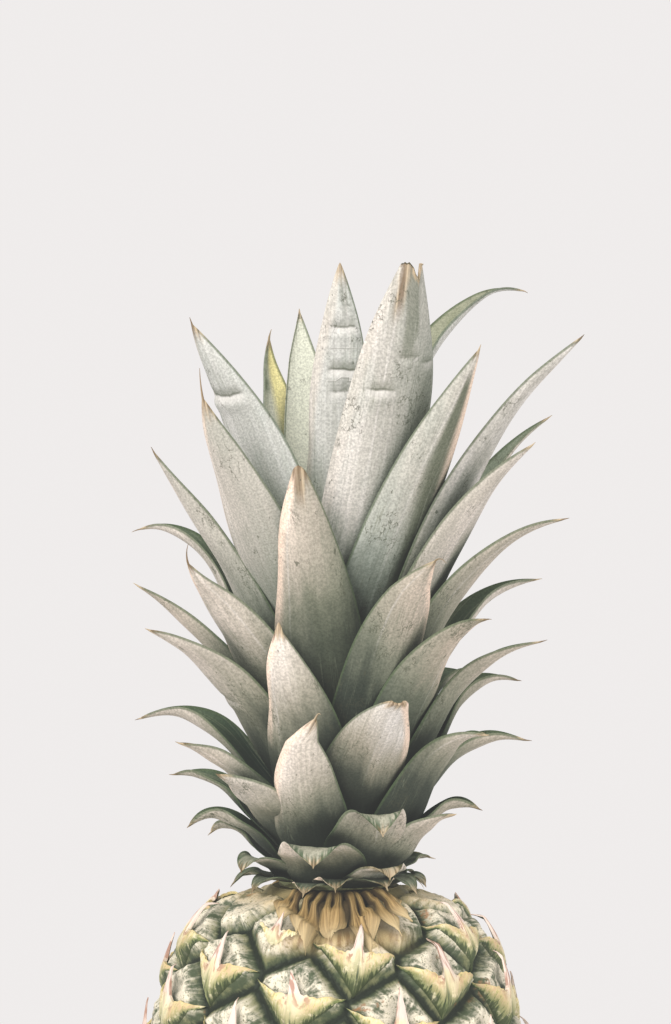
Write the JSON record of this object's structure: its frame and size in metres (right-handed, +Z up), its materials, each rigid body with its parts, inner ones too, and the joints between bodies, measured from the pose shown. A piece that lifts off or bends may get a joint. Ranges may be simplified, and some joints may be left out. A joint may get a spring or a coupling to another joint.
{
  "type": "pineapple",
  "caption": "Whole fresh pineapple with its leafy crown, standing upright on its flat cut base.",
  "frame": {"origin": "middle of the cut base, on the fruit's axis, where the fruit rests", "axes": "+Z up along the fruit's axis towards the crown; -Y is the side that the picture shows"},
  "size_m": [0.135, 0.1261, 0.346],
  "materials": {
    "fruit_skin": "satin",
    "stalk_cut": "matte",
    "crown_stem": "matte",
    "leaf": "satin"
  },
  "bodies": {
    "root": {"fruit": "fruit_skin", "stalk": "stalk_cut", "crown_stem": "crown_stem", "leaf_heart_tall": "leaf", "leaf_back_left_upright": "leaf", "leaf_left_upper_broad": "leaf", "leaf_right_folded": "leaf", "leaf_front_tall": "leaf", "leaf_right_front_broad": "leaf", "leaf_left_broad": "leaf", "leaf_left_straight": "leaf", "leaf_right_long_thin": "leaf", "leaf_right_rear_high": "leaf", "leaf_right_high": "leaf", "leaf_left_curled_tip": "leaf", "leaf_front_middle": "leaf", "leaf_left_front_middle": "leaf", "leaf_right_middle": "leaf", "leaf_left_thin": "leaf", "leaf_right_rear_middle": "leaf", "leaf_front_right_middle": "leaf", "leaf_left_low_broad": "leaf", "leaf_rear_right_dark": "leaf", "leaf_right_front_middle": "leaf", "leaf_right_arched": "leaf", "leaf_left_arched": "leaf", "leaf_front_left_blunt": "leaf", "leaf_right_rear_low": "leaf", "leaf_left_low": "leaf", "leaf_front_right_blunt": "leaf", "leaf_right_low_arched": "leaf", "leaf_left_rear_low": "leaf", "leaf_left_low_front": "leaf", "leaf_right_low_front": "leaf", "leaf_front_low_torn": "leaf", "leaf_left_foot_arched": "leaf", "leaf_right_foot_arched": "leaf", "leaf_right_foot_front": "leaf", "leaf_left_foot_rear": "leaf", "leaf_front_right_reflexed": "leaf", "leaf_left_foot_reflexed": "leaf", "leaf_right_foot_rear": "leaf", "leaf_front_foot_reflexed": "leaf", "leaf_right_foot_reflexed": "leaf", "leaf_right_foot_drooping": "leaf", "leaf_back_01": "leaf", "leaf_back_02": "leaf", "leaf_back_03": "leaf", "leaf_back_04": "leaf", "leaf_back_05": "leaf", "leaf_back_06": "leaf", "leaf_back_07": "leaf", "leaf_back_08": "leaf", "leaf_back_09": "leaf", "leaf_back_10": "leaf", "leaf_back_11": "leaf", "leaf_back_12": "leaf", "leaf_back_13": "leaf", "leaf_back_14": "leaf"}
  },
  "joints": []
}
